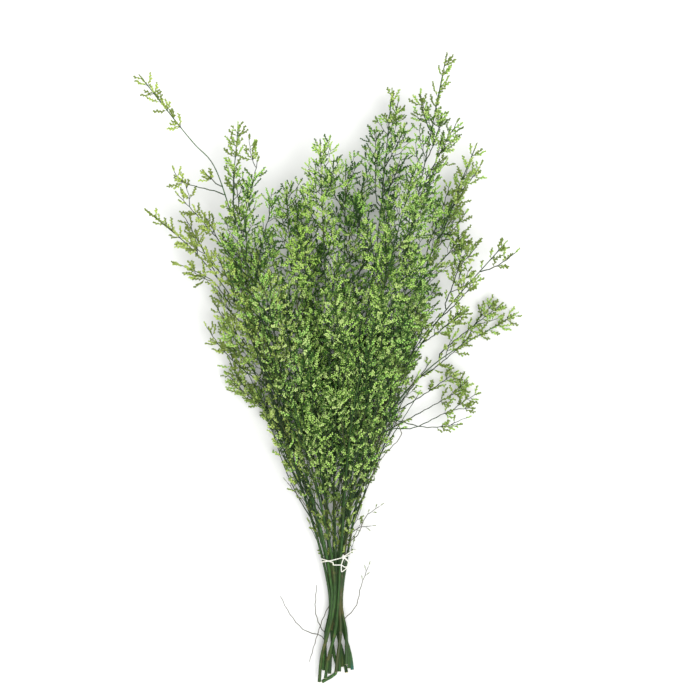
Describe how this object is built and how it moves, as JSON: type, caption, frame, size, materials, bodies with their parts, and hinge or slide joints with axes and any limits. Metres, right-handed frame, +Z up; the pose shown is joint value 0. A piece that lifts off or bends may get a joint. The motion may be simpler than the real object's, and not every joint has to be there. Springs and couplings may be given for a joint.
{
  "type": "dried sea lavender bunch",
  "caption": "Hand-sized bunch of dried, green flowering branches with fine side twigs and tiny flower spikes, tied low on the bare stems with thin white string. It lies on its side.",
  "frame": {"origin": "on the surface that the bunch lies on, under the middle of its bounding box", "axes": "+X across the bunch, +Y along it from the cut ends to the flowers, +Z up from the surface"},
  "size_m": [0.3609, 0.6002, 0.1504],
  "materials": {
    "soft_green": "matt, dried and dyed",
    "leaf_green": "matt, dried and dyed",
    "olive_green": "matt, dried and dyed",
    "white_string": "matt, thin twisted string"
  },
  "bodies": {
    "root": {"stem_01": "olive_green", "stem_02": "leaf_green", "stem_03": "olive_green", "stem_04": "leaf_green", "stem_05": "soft_green", "stem_06": "soft_green", "stem_07": "leaf_green", "stem_08": "leaf_green", "stem_09": "leaf_green", "stem_10": "leaf_green", "stem_11": "leaf_green", "stem_12": "leaf_green", "stem_13": "soft_green", "stem_14": "leaf_green", "tie_string": "white_string"}
  },
  "joints": []
}
